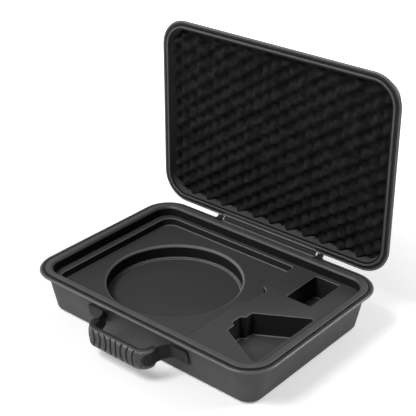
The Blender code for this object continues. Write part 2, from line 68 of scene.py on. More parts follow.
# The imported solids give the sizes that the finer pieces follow.
SHELL_LOW, SHELL_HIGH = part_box("base_shell")
TAPE_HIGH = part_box("base_zip_tape")[1]
TRAY_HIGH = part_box("tray_upper_layer")[1]
LID_LOW, LID_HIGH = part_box("lid_shell")
LID_TAPE_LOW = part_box("lid_zip_tape")[0]
GRIP_LOW, GRIP_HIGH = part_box("handle_grip")
PAD_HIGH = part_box("handle_pad_right")[1]
STRAP_LOW, STRAP_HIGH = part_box("handle_strap_right")
LEAF_LOW, LEAF_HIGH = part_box("lid_hinge_leaf")
BASE_LEAF_LOW, BASE_LEAF_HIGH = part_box("base_hinge_leaf")

RIM_W = SHELL_HIGH[0] - SHELL_LOW[0]
RIM_D = SHELL_HIGH[1] - SHELL_LOW[1]
RIM_R = 46 * MM
BASE_H = TAPE_HIGH[2]
LID_H = LID_HIGH[1] - LID_TAPE_LOW[1]
LID_Y = LID_TAPE_LOW[1]
LID_Z = LID_LOW[2]
HINGE_Y, HINGE_Z = joint_place("lid_hinge")[1:]

FIT = 0.3 * MM
OVERHANG = 11 * MM
DRAFT = math.radians(11.2)
BASE_EDGE_R = 7 * MM
LID_EDGE_R = 14 * MM
BASE_T = 4 * MM
LID_T = 3.5 * MM
TAPE_T = 1.0 * MM
TAPE_IN = 3.2 * MM
TAPE_W = 2.4 * MM
TEETH_IN = TAPE_IN + TAPE_W + FIT
TEETH_W = 1.8 * MM
TEETH_RISE = 1.2 * MM
COIL_PITCH = 1.3 * MM
STITCH_PITCH = 3.4 * MM
LIP_IN = TEETH_IN + TEETH_W + FIT
LIP_RISE = 1.2 * MM
BASE_LIP_W = 12 * MM
FLANGE_TOP = TAPE_T + FIT
FLANGE_T = 2.6 * MM
FLANGE_BACK = FLANGE_TOP + FLANGE_T
ZIP_HALF_GAP = BASE_LEAF_HIGH[0] + 2 * MM

WELT_R = (FLANGE_BACK - 0.2 * MM) / 2  # piping as thick as the flange and the tape

# The tray, whose pockets are placed as in the solids.
DECK_Z = TRAY_HIGH[2]
LAND = 7.5 * MM  # deck left in front of and behind the big recess
LAND_SIDE = 11 * MM
BAY_W = 125 * MM  # side bay, from the recess to the lip
RECESS_DEPTH = 13 * MM
RECESS_R = 20 * MM
STEP_R = 5 * MM
RECESS_EDGE_R = 1.6 * MM
RECESS_FOOT_R = 1.5 * MM
NOTCH_Y = 25.5 * MM
NOTCH_L = 52 * MM
NOTCH_D = 11.5 * MM
NOTCH_R = 11 * MM
NOTCH_END_R = 2.5 * MM
ROUND_R = 102.5 * MM
ROUND_EDGE_R = 5 * MM
ROUND_LAND = 18 * MM
ROUND_DEPTH = 24 * MM  # below the big recess's floor
LEDGE_W = 2.6 * MM
POCKET_FLOOR = 16 * MM
POCKET_EDGE_R = 1.2 * MM
POCKET_FOOT_R = 2 * MM
BOX_X = 41.5 * MM  # from the recess's step
BOX_W = 42.5 * MM
BOX_L = 73.5 * MM
BOX_R = 3 * MM
SLOPE_X = 31 * MM  # from the recess's step
SLOPE_W = 77 * MM
SLOPE_Y = 18 * MM
SLOPE_CUT = 39 * MM  # short side's front corner behind the long side's
SLOPE_LEFT = 55 * MM
SLOPE_RIGHT = 139 * MM
SLOPE_R = 4 * MM
SLOPE_FRONT_R = 6 * MM
SCOOP_UP = 14.5 * MM
SCOOP_W = 26 * MM
SCOOP_D = 7 * MM
SCOOP_SLANT = 4 * MM
SCOOP_R = 2.4 * MM
CUT_PAST = 10 * MM  # how far a pocket's cutter reaches past the face that it opens in

# The handle
GRIP_X = (GRIP_LOW[0] + GRIP_HIGH[0]) / 2
GRIP_Z = (GRIP_LOW[2] + GRIP_HIGH[2]) / 2
GRIP_H = GRIP_HIGH[2] - GRIP_LOW[2]
GRIP_T = 9 * MM
GRIP_OUT = GRIP_LOW[1]

CORNER_STEPS = 20
FILLET_STEPS = 8


# Outlines -------------------------------------------------------------------


def rim_ring(inset, steps=CORNER_STEPS):
    half_x, half_y = RIM_W / 2 - inset, RIM_D / 2 - inset
    radius = max(RIM_R - inset, 1 * MM)
    points = []
    for corner, (sx, sy) in enumerate(((1, 1), (-1, 1), (-1, -1), (1, -1))):
        for step in range(steps + 1):
            turn = math.radians(90) * (corner + step / steps)
            points.append(
                (
                    sx * (half_x - radius) + radius * math.cos(turn),
                    sy * (half_y - radius) + radius * math.sin(turn),
                )
            )
    return points


def rounded_outline(corners):
    """The outline through corners given as (x, y, radius)."""
    points = []
    count = len(corners)
    for i, (x, y, radius) in enumerate(corners):
        ax, ay = corners[i - 1][0] - x, corners[i - 1][1] - y
        bx, by = corners[(i + 1) % count][0] - x, corners[(i + 1) % count][1] - y
        la, lb = math.hypot(ax, ay), math.hypot(bx, by)
        ax, ay, bx, by = ax / la, ay / la, bx / lb, by / lb
        inside = math.acos(max(-1, min(1, ax * bx + ay * by)))
        reach = radius / math.tan(inside / 2)
        mx, my = ax + bx, ay + by
        ml = math.hypot(mx, my)
        centre = (
            x + mx / ml * radius / math.sin(inside / 2),
            y + my / ml * radius / math.sin(inside / 2),
        )
        start = math.atan2(y + ay * reach - centre[1], x + ax * reach - centre[0])
        end = math.atan2(y + by * reach - centre[1], x + bx * reach - centre[0])
        sweep = (end - start + math.pi) % (2 * math.pi) - math.pi
        for step in range(FILLET_STEPS + 1):
            turn = start + sweep * step / FILLET_STEPS
            points.append(
                (centre[0] + radius * math.cos(turn), centre[1] + radius * math.sin(turn))
            )
    return points


def grown(outline, amount):
    """A counter-clockwise outline moved out by amount, point by point."""
    result = []
    count = len(outline)
    for i, (x, y) in enumerate(outline):
        nx = ny = 0.0
        for j, k in ((i - 1, i), (i, (i + 1) % count)):
            dx, dy = outline[k][0] - outline[j][0], outline[k][1] - outline[j][1]
            length = math.hypot(dx, dy)
            if length > 1e-7:
                nx, ny = nx + dy / length, ny - dx / length
        size = math.hypot(nx, ny)
        result.append((x + nx / size * amount, y + ny / size * amount))
    return result


def arc(centre, radius, start, end, steps):
    """Points round centre from start to end, in degrees."""
    points = []
    for step in range(steps + 1):
        turn = math.radians(start + (end - start) * step / steps)
        points.append(
            (centre[0] + radius * math.cos(turn), centre[1] + radius * math.sin(turn))
        )
    return points


def base_place(x, y, height):
    return (x, y, height)


def lid_place(x, y, height):
    return (x, LID_Y + LID_H - height, LID_Z + RIM_D / 2 + y)


# Meshes ---------------------------------------------------------------------


def finish(name, bm, mat, body, smooth=40):
    bmesh.ops.recalc_face_normals(bm, faces=bm.faces)
    mesh = bpy.data.meshes.new(name)
    bm.to_mesh(mesh)
    bm.free()
    mesh.materials.append(mat)
    obj = bpy.data.objects.new(name, mesh)
    bpy.context.scene.collection.objects.link(obj)
    if smooth:
        mesh.shade_smooth()
        mesh.set_sharp_from_angle(angle=math.radians(smooth))
    if body:
        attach(obj, body)
    return obj


def skin(bm, rings, closed=False):
    """Joins rings of vertices in order, and caps both ends unless they close on each other."""
    pairs = list(zip(rings, rings[1:]))
    if closed:
        pairs.append((rings[-1], rings[0]))
    else:
        bm.faces.new(rings[0])
        bm.faces.new(rings[-1])
    for low, high in pairs:
        count = len(low)
        for i in range(count):
            j = (i + 1) % count
            bm.faces.new((low[i], low[j], high[j], high[i]))


def loft(profile, place, closed=False):
    """A solid that carries a profile of (inset, height) round the rim."""
    bm = bmesh.new()
    rings = [
        [bm.verts.new(place(x, y, height)) for x, y in rim_ring(inset)]
        for inset, height in profile
    ]
    skin(bm, rings, closed)
    return bm


def stack(levels):
    """A solid through outlines given as (outline, height)."""
    bm = bmesh.new()
    rings = [[bm.verts.new((x, y, height)) for x, y in outline] for outline, height in levels]
    skin(bm, rings)
    return bm


def capsule(bm, start, end, radius, up, sides=6):
    """A short round-ended bar from start to end, with its facets turned to face up."""
    axis = [e - s for s, e in zip(start, end)]
    length = math.sqrt(sum(a * a for a in axis))
    axis = [a / length for a in axis]
    side = [
        axis[1] * up[2] - axis[2] * up[1],
        axis[2] * up[0] - axis[0] * up[2],
        axis[0] * up[1] - axis[1] * up[0],
    ]
    rings = []
    for along, size in ((0, 0.45), (0.12, 1), (0.88, 1), (1, 0.45)):
        ring = []
        for i in range(sides):
            turn = 2 * math.pi * i / sides
            c, s = math.cos(turn) * radius * size, math.sin(turn) * radius * size
            ring.append(
                bm.verts.new(
                    [
                        p + a * length * along + sd * c + u * s
                        for p, a, sd, u in zip(start, axis, side, up)
                    ]
                )
            )
        rings.append(ring)
    skin(bm, rings)


def rim_walk(inset, pitch):
    """(x, y, outward x, outward y) at even steps round the rim's outline."""
    ring = rim_ring(inset, 48)
    places = []
    carry = 0.0
    count = len(ring)
    for i in range(count):
        (x0, y0), (x1, y1) = ring[i], ring[(i + 1) % count]
        length = math.hypot(x1 - x0, y1 - y0)
        if length < 1e-9:
            continue
        dx, dy = (x1 - x0) / length, (y1 - y0) / length
        while carry < length:
            places.append((x0 + dx * carry, y0 + dy * carry, dy, -dx))
            carry += pitch
        carry -= length
    return places


# Materials --------------------------------------------------------------------


class Look:
    """A Principled material with a few layers of procedural colour and bump."""

    def __init__(self, name, colour, roughness, metallic=0.0, specular=0.5, sheen=0.0):
        self.mat = bpy.data.materials.new(name)
        self.mat.use_nodes = True
        self.nodes = self.mat.node_tree.nodes
        self.links = self.mat.node_tree.links
        self.shader = self.nodes["Principled BSDF"]
        self.shader.inputs["Base Color"].default_value = (*colour, 1)
        self.shader.inputs["Roughness"].default_value = roughness
        self.shader.inputs["Metallic"].default_value = metallic
        self.shader.inputs["Specular IOR Level"].default_value = specular
        self.shader.inputs["Sheen Weight"].default_value = sheen
        self.shader.inputs["Sheen Roughness"].default_value = 0.4
        self.place = self.nodes.new("ShaderNodeTexCoord").outputs["Object"]
        self.normal = None

    def noise(self, size, detail):
        node = self.nodes.new("ShaderNodeTexNoise")
        node.inputs["Scale"].default_value = 1 / size
        node.inputs["Detail"].default_value = detail
        self.links.new(self.place, node.inputs["Vector"])
        return node.outputs["Fac"]

    def cells(self, size):
        node = self.nodes.new("ShaderNodeTexVoronoi")
        node.inputs["Scale"].default_value = 1 / size
        self.links.new(self.place, node.inputs["Vector"])
        return node.outputs["Distance"]

    def waves(self, size, direction):
        node = self.nodes.new("ShaderNodeTexWave")
        node.wave_type = "BANDS"
        node.bands_direction = direction
        # A band texture repeats every 0.314 of its scaled length.
        node.inputs["Scale"].default_value = 0.314 / size
        node.inputs["Distortion"].default_value = 0.0
        self.links.new(self.place, node.inputs["Vector"])
        return node.outputs["Fac"]

    def maths(self, operation, a, b):
        node = self.nodes.new("ShaderNodeMath")
        node.operation = operation
        for socket, value in zip(node.inputs, (a, b)):
            if isinstance(value, (int, float)):
                socket.default_value = value
            else:
                self.links.new(value, socket)
        return node.outputs[0]

    def bump(self, height, strength, distance):
        node = self.nodes.new("ShaderNodeBump")
        node.inputs["Strength"].default_value = strength
        node.inputs["Distance"].default_value = distance
        self.links.new(height, node.inputs["Height"])
        if self.normal:
            self.links.new(self.normal, node.inputs["Normal"])
        self.normal = node.outputs["Normal"]
        self.links.new(self.normal, self.shader.inputs["Normal"])
        return self

    def ramp(self, value, low, high):
        node = self.nodes.new("ShaderNodeMapRange")
        node.inputs["From Min"].default_value = low
        node.inputs["From Max"].default_value = high
        self.links.new(value, node.inputs["Value"])
        return node.outputs["Result"]

    def tint(self, value, other):
        """Mixes the colour so far towards other by value, so that a later tint covers an earlier one."""
        node = self.nodes.new("ShaderNodeMix")
        node.data_type = "RGBA"
        self.links.new(value, node.inputs["Factor"])
        socket = self.shader.inputs["Base Color"]
        if socket.links:
            self.links.new(socket.links[0].from_socket, node.inputs["A"])
        else:
            node.inputs["A"].default_value = socket.default_value[:]
        node.inputs["B"].default_value = (*other, 1)
        self.links.new(node.outputs["Result"], socket)
        return self

    def gloss(self, value, low, high):
        node = self.nodes.new("ShaderNodeMapRange")
        node.inputs["To Min"].default_value = low
        node.inputs["To Max"].default_value = high
        self.links.new(value, node.inputs["Value"])
        self.links.new(node.outputs["Result"], self.shader.inputs["Roughness"])
        return self


def times(colour, factor):
    return tuple(c * factor for c in colour)


def shell_look():
    """Moulded shell: fine pebbled grain over faint cloudy shading."""
    colour = (0.060, 0.060, 0.062)
    look = Look("moulded_shell", colour, 0.5, specular=0.45)
    look.tint(look.ramp(look.noise(38 * MM, 4), 0.35, 0.7), times(colour, 1.25))
    look.tint(look.ramp(look.noise(1.2 * MM, 2), 0.55, 0.8), times(colour, 0.7))
    look.gloss(look.noise(9 * MM, 4), 0.42, 0.62)
    look.bump(look.cells(1.1 * MM), 0.35, 0.25 * MM)
    look.bump(look.noise(0.5 * MM, 2), 0.2, 0.1 * MM)
    return look.mat


def lip_look():
    colour = (0.062, 0.062, 0.064)
    look = Look("smooth_lip", colour, 0.48, specular=0.5)
    look.tint(look.ramp(look.noise(25 * MM, 4), 0.4, 0.75), times(colour, 1.2))
    look.gloss(look.noise(6 * MM, 3), 0.4, 0.56)
    look.bump(look.noise(0.7 * MM, 3), 0.25, 0.12 * MM)
    return look.mat


def welt_look():
    """Vinyl piping, a little shinier than the shell."""
    # The piping is paler than the shell: painted highlight along the rolled edge.
    colour = (0.085, 0.085, 0.088)
    look = Look("vinyl_welt", colour, 0.32, specular=0.7)
    look.tint(look.ramp(look.noise(14 * MM, 4), 0.4, 0.75), times(colour, 1.3))
    look.gloss(look.noise(5 * MM, 3), 0.26, 0.42)
    look.bump(look.noise(0.8 * MM, 3), 0.25, 0.1 * MM)
    return look.mat


def dark_inner_look():
    # Near-black inner faces; on the lid's lip this is painted shade beside the foam.
    colour = (0.006, 0.006, 0.0065)
    look = Look("near_black_inner", colour, 0.8, specular=0.2)
    look.tint(look.ramp(look.noise(8 * MM, 4), 0.4, 0.8), times(colour, 1.8))
    look.bump(look.noise(0.7 * MM, 3), 0.4, 0.15 * MM)
    return look.mat


def tray_look():
    """Moulded foam, with painted shade that makes the upright walls near-black and a painted highlight where
    it bends over each edge.
    """
    colour = (0.052, 0.052, 0.053)
    look = Look("tray_foam", colour, 0.72, specular=0.35)
    lie = look.nodes.new("ShaderNodeNewGeometry")
    split = look.nodes.new("ShaderNodeSeparateXYZ")
    look.links.new(lie.outputs["Normal"], split.inputs[0])
    tilt = split.outputs["Z"]
    look.tint(look.ramp(look.noise(45 * MM, 5), 0.35, 0.7), times(colour, 1.4))
    look.tint(look.ramp(look.cells(0.9 * MM), 0.0, 0.5), times(colour, 0.8))
    # Painted shade: faces that stand upright are darkened to near-black.
    look.tint(look.ramp(tilt, 0.3, 0.05), (0.0045, 0.0045, 0.0047))
    # Painted highlight: faces that tilt part way, where the surface bends over an edge, are paler.
    painted_edge_highlight = look.maths("MULTIPLY", look.ramp(tilt, 0.12, 0.4), look.ramp(tilt, 0.98, 0.82))
    look.tint(painted_edge_highlight, (0.17, 0.17, 0.175))
    look.gloss(look.noise(12 * MM, 3), 0.66, 0.86)
    look.bump(look.cells(0.8 * MM), 0.5, 0.2 * MM)
    look.bump(look.noise(0.35 * MM, 2), 0.3, 0.1 * MM)
    return look.mat


def foam_look():
    """Open-cell foam: pores that swallow the light."""
    colour = (0.017, 0.017, 0.0175)
    look = Look("egg_crate_foam", colour, 0.97, specular=0.1)
    look.tint(look.ramp(look.cells(1.3 * MM), 0.1, 0.55), times(colour, 0.35))
    look.tint(look.ramp(look.noise(16 * MM, 4), 0.4, 0.8), times(colour, 1.6))
    look.bump(look.cells(1.1 * MM), 0.9, 0.6 * MM)
    look.bump(look.noise(0.5 * MM, 3), 0.5, 0.25 * MM)
    return look.mat


def woven_look(name, colour, rough, thread=0.9 * MM, strength=0.6, across=("X", "Z")):
    """Plain weave from two crossing band textures."""
    look = Look(name, colour, rough, specular=0.3, sheen=0.15)
    one, two = look.waves(thread, across[0]), look.waves(thread, across[1])
    weave = look.maths("MULTIPLY", one, two)
    look.tint(look.ramp(look.noise(11 * MM, 4), 0.35, 0.75), times(colour, 1.35))
    look.tint(look.ramp(weave, 0.7, 0.0), times(colour, 0.62))
    look.bump(weave, strength, 0.3 * MM)
    look.bump(look.noise(0.4 * MM, 2), 0.25, 0.1 * MM)
    return look.mat


def teeth_look():
    colour = (0.006, 0.006, 0.006)
    look = Look("coil_teeth", colour, 0.38, specular=0.5)
    look.tint(look.ramp(look.noise(3 * MM, 2), 0.5, 0.9), (0.03, 0.03, 0.03))
    look.bump(look.noise(0.5 * MM, 2), 0.2, 0.08 * MM)
    return look.mat


def metal_look():
    colour = (0.03, 0.03, 0.031)
    look = Look("black_metal", colour, 0.45, metallic=0.3)
    look.gloss(look.noise(2.5 * MM, 4), 0.38, 0.55)
    look.tint(look.ramp(look.noise(4 * MM, 5), 0.62, 0.8), (0.09, 0.09, 0.092))
    look.bump(look.noise(0.7 * MM, 3), 0.15, 0.06 * MM)
    return look.mat


def pull_look():
    colour = (0.022, 0.022, 0.023)
    look = Look("moulded_pull", colour, 0.5)
    look.gloss(look.noise(2 * MM, 3), 0.42, 0.6)
    look.bump(look.cells(0.6 * MM), 0.4, 0.1 * MM)
    return look.mat


def grip_look():
    """Rubber that is paler on its ridges and outer face, partly worn and partly painted highlight, with
    painted shade in its grooves.
    """
    colour = (0.013, 0.013, 0.014)
    look = Look("grip_rubber", colour, 0.5, specular=0.4)
    wear_and_highlight = look.nodes.new("ShaderNodeAttribute")
    wear_and_highlight.attribute_name = "wear_and_highlight"
    look.tint(look.ramp(look.noise(9 * MM, 5), 0.4, 0.75), times(colour, 1.5))
    # The ridges and the outer face are paler, partly from wear and partly as a painted highlight.
    patches = look.ramp(look.noise(2.2 * MM, 5), 0.25, 0.6)
    patchy = look.maths("MULTIPLY", wear_and_highlight.outputs["Fac"], patches)
    look.tint(patchy, (0.21, 0.21, 0.215))
    # Painted shade darkens the grooves.
    painted_groove_shade = look.nodes.new("ShaderNodeAttribute")
    painted_groove_shade.attribute_name = "painted_groove_shade"
    look.tint(painted_groove_shade.outputs["Fac"], (0.004, 0.004, 0.004))
    look.gloss(look.noise(5 * MM, 4), 0.4, 0.62)
    look.bump(look.noise(0.6 * MM, 4), 0.35, 0.14 * MM)
    return look.mat


SHELL = shell_look()
LIP = lip_look()
TRAY = tray_look()
DARK_INNER = dark_inner_look()
WELT = welt_look()
FOAM = foam_look()
TAPE = woven_look("zip_tape_weave", (0.040, 0.040, 0.042), 0.75, 0.8 * MM, 0.5, ("X", "Y"))
LID_TAPE = woven_look("lid_tape_weave", (0.040, 0.040, 0.042), 0.75, 0.8 * MM, 0.5, ("X", "Z"))
WEB = woven_look("hinge_web", (0.034, 0.034, 0.035), 0.7, 1.0 * MM, 0.6, ("X", "Z"))
STRAP = woven_look("strap_webbing", (0.019, 0.019, 0.020), 0.62, 1.6 * MM, 0.9, ("X", "Z"))
TEETH = teeth_look()
METAL = metal_look()
PULL = pull_look()
GRIP = grip_look()
THREAD = woven_look("thread", (0.030, 0.030, 0.031), 0.6, 0.4 * MM, 0.5)


# Shells -------------------------------------------------------------------------


class Moulding:
    """One half of the case: the drafted wall, the rounded edge below it and the flange above it."""

    def __init__(self, height, thickness, edge_r):
        self.height = height
        self.thickness = thickness
        self.edge_r = edge_r
        self.under = height - FLANGE_BACK
        self.centre = (self.wall(edge_r) + edge_r / math.cos(DRAFT), edge_r)

    def wall(self, z, offset=0.0):
        return OVERHANG + (self.under - z) * math.tan(DRAFT) + offset / math.cos(DRAFT)

    def side(self, offset, top):
        """(inset, height) from the sole to the height top, offset inside the outside."""
        end = 180 + math.degrees(DRAFT)
        points = arc(self.centre, self.edge_r - offset, 270, end, 10)
        points.append((self.wall(top, offset), top))
        return points

    def skin_profile(self):
        """Sole, wall, a small fillet, the flange with its rolled edge, and down the inside."""
        top = self.height - FLANGE_TOP
        fillet = 2.2 * MM
        inner_wall = self.wall(self.under - fillet)
        profile = self.side(0, self.under - fillet)
        profile += arc((inner_wall - fillet, self.under - fillet), fillet, 0, 90, 5)[1:]
        profile += [(WELT_R, self.under), (WELT_R, top)]
        return profile + self.side(self.thickness, top)[::-1]


BASE = Moulding(BASE_H, BASE_T, BASE_EDGE_R)
LID = Moulding(LID_H, LID_T, LID_EDGE_R)


def make_shells():
    shell = finish("base_moulding", loft(BASE.skin_profile(), base_place), SHELL, "base")
    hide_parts("base_shell")
    shell = finish("lid_moulding", loft(LID.skin_profile(), lid_place), SHELL, "lid")
    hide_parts("lid_shell")


def make_welts():
    """Smooth piping rolled round the free edge of each flange."""
    for side, place, face in (("base", base_place, BASE_H), ("lid", lid_place, LID_H)):
        profile = arc((WELT_R, face - WELT_R - 0.1 * MM), WELT_R, 0, 330, 11)
        finish(f"{side}_edge_welt", loft(profile, place, closed=True), WELT, side, smooth=80)


def darken_inside(obj, hidden):
    """Gives the faces whose middles pass the test the near-black inner colour."""
    obj.data.materials.append(DARK_INNER)
    for face in obj.data.polygons:
        if hidden(*face.center):
            face.material_index = 1


def make_lips():
    end = LIP_IN + BASE_LIP_W
    face = BASE_H
    top = face + LIP_RISE
    low = DECK_Z + FIT
    bead = 1.1 * MM
    brow = 5 * MM
    profile = [(LIP_IN, face - TAPE_T)]
    profile += arc((LIP_IN + bead, top - bead), bead, 180, 90, 5)
    profile += arc((end - brow, top - brow), brow, 90, 0, 10)
    profile += [(end, low), (BASE.wall(low, BASE_T + FIT), low)]
    profile.append((BASE.wall(face - TAPE_T, BASE_T + FIT), face - TAPE_T))
    lip = finish("base_lip_bead", loft(profile, base_place, closed=True), LIP, "base")
    # The lip's inner wall below the bead is near-black.
    darken_inside(lip, lambda x, y, z: z < BASE_H - 2.2 * MM)
    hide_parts("base_lip")

    face = LID_H
    top = face + LIP_RISE
    width = 3.6 * MM
    profile = [(LIP_IN, face - TAPE_T)]
    profile += arc((LIP_IN + bead, top - bead), bead, 180, 90, 5)
    profile += arc((LIP_IN + width - bead, top - bead), bead, 90, 0, 5)
    profile += [
        (LIP_IN + width, face - FIT),
        (LIP_IN + width + 2.6 * MM, face - FIT),
        (LIP_IN + width + 2.6 * MM, face - TAPE_T),
    ]
    lip = finish("lid_lip_bead", loft(profile, lid_place, closed=True), LIP, "lid")
    # Painted shade: the sill and inner side of the lid's lip are near-black, for the gap beside the foam.
    darken_inside(lip, lambda x, y, z: y > LID_Y - 0.15 * MM)
    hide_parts("lid_lip")


# Zip ---------------------------------------------------------------------------------


def on_zip(side, x, y):
    """False over the hinge strip."""
    hinge_y = y if side == "base" else -y
    return abs(x) > ZIP_HALF_GAP or hinge_y < 0


def open_strip(side, profile, place):
    """A strip that follows the rim and stops at each side of the hinge strip."""
    bm = bmesh.new()
    sign = 1 if side == "base" else -1
    path = rim_ring(0)
    count = len(path)
    inset_rings = [rim_ring(inset) for inset, _ in profile]

    def is_hinge_edge(i):
        (x0, y0), (x1, y1) = path[i], path[(i + 1) % count]
        return min(y0 * sign, y1 * sign) > RIM_D / 2 - 1e-6 and abs(x0 - x1) > RIM_W / 2

    # The strip runs from one end of the long hinge edge round to the other.
    start = next(i for i in range(count) if is_hinge_edge(i)) + 1
    order = [(start + i) % count for i in range(count)]

    def column(points):
        return [
            bm.verts.new(place(x, y, height))
            for (x, y), (_, height) in zip(points, profile)
        ]

    def end_column(corner):
        x = math.copysign(ZIP_HALF_GAP, path[corner][0])
        return column([(x, sign * (RIM_D / 2 - inset)) for inset, _ in profile])

    rings = [end_column(order[0])]
    for i in order:
        rings.append(column([ring[i] for ring in inset_rings]))
    rings.append(end_column(order[-1]))
    skin(bm, rings)
    return bm


def make_zip(side, place, face, tape_mat):
    crown = 0.25 * MM
    tape_end = TAPE_IN + TAPE_W
    profile = [
        (TAPE_IN, face - TAPE_T),
        (TAPE_IN, face - 0.45 * MM),
        (TAPE_IN + 0.4 * MM, face - 0.1 * MM),
        (TAPE_IN + TAPE_W / 2, face + crown - 0.2 * MM),
        (tape_end - 0.4 * MM, face - 0.1 * MM),
        (tape_end, face - 0.4 * MM),
        (tape_end, face - TAPE_T),
    ]
    tape = finish(f"{side}_tape", open_strip(side, profile, place), tape_mat, side, 60)
    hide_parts(f"{side}_zip_tape")

    bed = face - TAPE_T
    bed_top = bed + 0.7 * MM
    profile = [
        (TEETH_IN, bed),
        (TEETH_IN, bed_top),
        (TEETH_IN + TEETH_W, bed_top),
        (TEETH_IN + TEETH_W, bed),
    ]
    coil = open_strip(side, profile, place)
    radius = 0.42 * MM
    high = face + TEETH_RISE - radius
    half = TEETH_W / 2
    up = [u - z for u, z in zip(place(0, 0, 1), place(0, 0, 0))]
    for x, y, nx, ny in rim_walk(TEETH_IN + half, COIL_PITCH):
        if not on_zip(side, x, y):
            continue
        capsule(
            coil,
            place(x + nx * half, y + ny * half, high),
            place(x - nx * half, y - ny * half, high),
            radius,
            up,
        )
        # The leg of each turn runs down to the tape.
        capsule(
            coil,
            place(x + nx * half * 0.8, y + ny * half * 0.8, bed + 0.5 * MM),
            place(x + nx * half * 0.9, y + ny * half * 0.9, high),
            radius * 0.8,
            (nx, ny, 0) if side == "base" else (nx, 0, ny),
            sides=5,
        )
    coil = finish(f"{side}_coil", coil, TEETH, side, 60)
    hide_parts(f"{side}_zip_teeth")

    # One row of stitches holds the tape to the flange.
    rows = bmesh.new()
    half = 1.15 * MM
    level = face + 0.02 * MM
    for x, y, nx, ny in rim_walk(TAPE_IN + TAPE_W / 2, STITCH_PITCH):
        if not on_zip(side, x, y):
            continue
        tx, ty = -ny, nx
        capsule(
            rows,
            place(x - tx * half, y - ty * half, level),
            place(x + tx * half, y + ty * half, level),
            0.24 * MM,
            up,
            sides=5,
        )
    finish(f"{side}_tape_stitches", rows, THREAD, side, 60)


def dress(name, mat):
    """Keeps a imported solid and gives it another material."""
    obj = frame["nodes"][name]
    obj.data.materials.clear()
    obj.data.materials.append(mat)


def dress_metal():
    for word in ("left", "right"):
        for kind in ("base_zip_stop", "lid_zip_stop", "zip_slider"):
            dress(f"{kind}_{word}", METAL)
        dress(f"zip_pull_{word}", PULL)


# Tray -------------------------------------------------------------------------------


def tray_cutter(name, outline, floor, edge_r, foot):
    """A pocket's space below the deck: a rounded foot, an upright wall and a rounded edge."""
    top = DECK_Z
    steps = 5
    levels = []
    for i in range(steps + 1):
        turn = math.radians(90) * i / steps
        shrunk = grown(outline, -foot * (1 - math.sin(turn)))
        levels.append((shrunk, floor + foot * (1 - math.cos(turn))))
    for i in range(steps + 1):
        turn = math.radians(90) * i / steps
        wide = grown(outline, edge_r * (1 - math.cos(turn)))
        levels.append((wide, top - edge_r + edge_r * math.sin(turn)))
    levels.append((grown(outline, edge_r), top + CUT_PAST))
    return finish(name, stack(levels), TRAY, None, smooth=50)


def recess_outline(left, step, back):
    """The big recess, with a notch in the side that faces the bay."""
    low, high = NOTCH_Y - NOTCH_L / 2, NOTCH_Y + NOTCH_L / 2
    return rounded_outline(
        [
            (left, -back, RECESS_R),
            (step, -back, STEP_R),
            (step, low, STEP_R),
            (step + NOTCH_D, low + NOTCH_D / 2, NOTCH_R),
            (step + NOTCH_D, high - NOTCH_D / 2, NOTCH_R),
            (step, high, NOTCH_END_R),
            (step, back, STEP_R),
            (left, back, RECESS_R),
        ]
    )


def box_outline(step, back):
    x0, y0 = step + BOX_X, back - BOX_L
    x1 = x0 + BOX_W
    return rounded_outline([(x0, y0, BOX_R), (x1, y0, BOX_R), (x1, back, BOX_R), (x0, back, BOX_R)])


def slope_outline(step, back):
    """The pocket with a long and a short side, and a finger scoop in the short one."""
    x0, x1 = step + SLOPE_X, step + SLOPE_X + SLOPE_W
    y0 = -back + SLOPE_Y
    near = y0 + SLOPE_CUT
    scoop_low, scoop_high = near + SCOOP_UP, near + SCOOP_UP + SCOOP_W
    return rounded_outline(
        [
            (x1, y0, SLOPE_FRONT_R),
            (x1, y0 + SLOPE_RIGHT, SLOPE_R),
            (x0, near + SLOPE_LEFT, SLOPE_R),
            (x0, scoop_high, SCOOP_R),
            (x0 - SCOOP_D, scoop_high - SCOOP_SLANT, SLOPE_R),
            (x0 - SCOOP_D, scoop_low + SCOOP_SLANT, SLOPE_R),
            (x0, scoop_low, SCOOP_R),
            (x0, near, SLOPE_R),
        ]
    )


def round_cutter(left, recess_z):
    """The round recess: a floor inside a low ledge, an upright wall and a soft rounded edge."""
    centre_x = left + ROUND_LAND + ROUND_R + ROUND_EDGE_R
    floor = recess_z - ROUND_DEPTH
    circle = arc((centre_x, 0), ROUND_R, 0, 357, 119)
    levels = [
        (grown(circle, -LEDGE_W - 0.8 * MM), floor),
        (grown(circle, -LEDGE_W), floor + 0.8 * MM),
        (grown(circle, -LEDGE_W), floor + 1.5 * MM),
        (grown(circle, -LEDGE_W + 0.5 * MM), floor + 2 * MM),
        (grown(circle, -0.8 * MM), floor + 2 * MM),
        (circle, floor + 2.8 * MM),
    ]
    for i in range(FILLET_STEPS + 1):
        turn = math.radians(90) * i / FILLET_STEPS
        wide = grown(circle, ROUND_EDGE_R * (1 - math.cos(turn)))
        levels.append((wide, recess_z - ROUND_EDGE_R + ROUND_EDGE_R * math.sin(turn)))
    levels.append((grown(circle, ROUND_EDGE_R), recess_z + CUT_PAST))
    return finish("round_space", stack(levels), TRAY, None, smooth=50)


